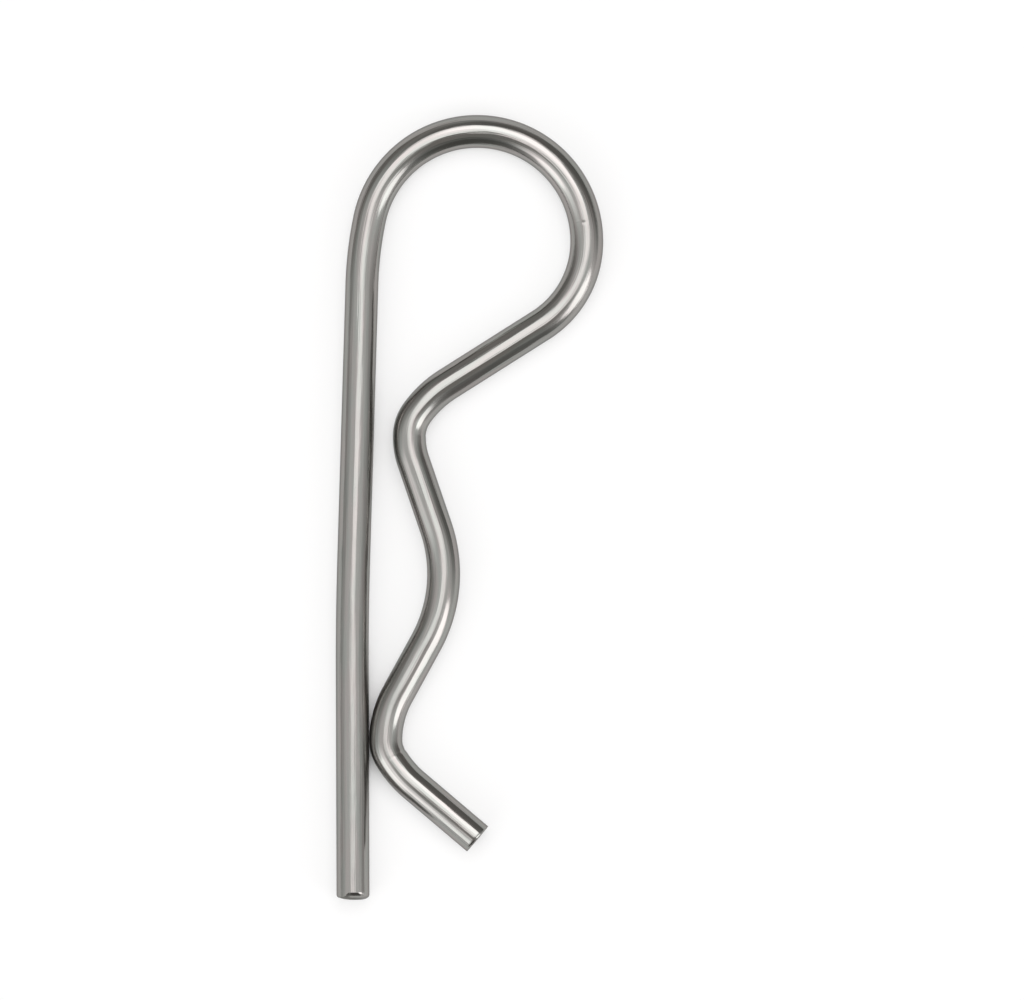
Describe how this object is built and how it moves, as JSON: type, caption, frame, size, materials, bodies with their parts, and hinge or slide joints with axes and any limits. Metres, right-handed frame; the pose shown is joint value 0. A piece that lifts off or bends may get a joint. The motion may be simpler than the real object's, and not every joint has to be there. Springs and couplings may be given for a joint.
{
  "type": "hitch R clip pin",
  "caption": "Spring clip bent from round wire: a straight leg goes through a shaft's cross hole, a sprung arm snaps round the shaft, and a loop joins them.",
  "frame": {"origin": "on the axis of the seated shaft, where it crosses the leg's centre line, in the plane that the clip lies on", "axes": "+Y along the leg towards the loop, +X from the leg towards the sprung arm, +Z out of the clip's plane, along the shaft's axis"},
  "size_m": [0.0326, 0.0951, 0.004],
  "materials": {
    "steel": "bright drawn stainless spring wire, polished, with fine drawing lines along it"
  },
  "bodies": {
    "root": {"clip": "steel"}
  },
  "joints": []
}
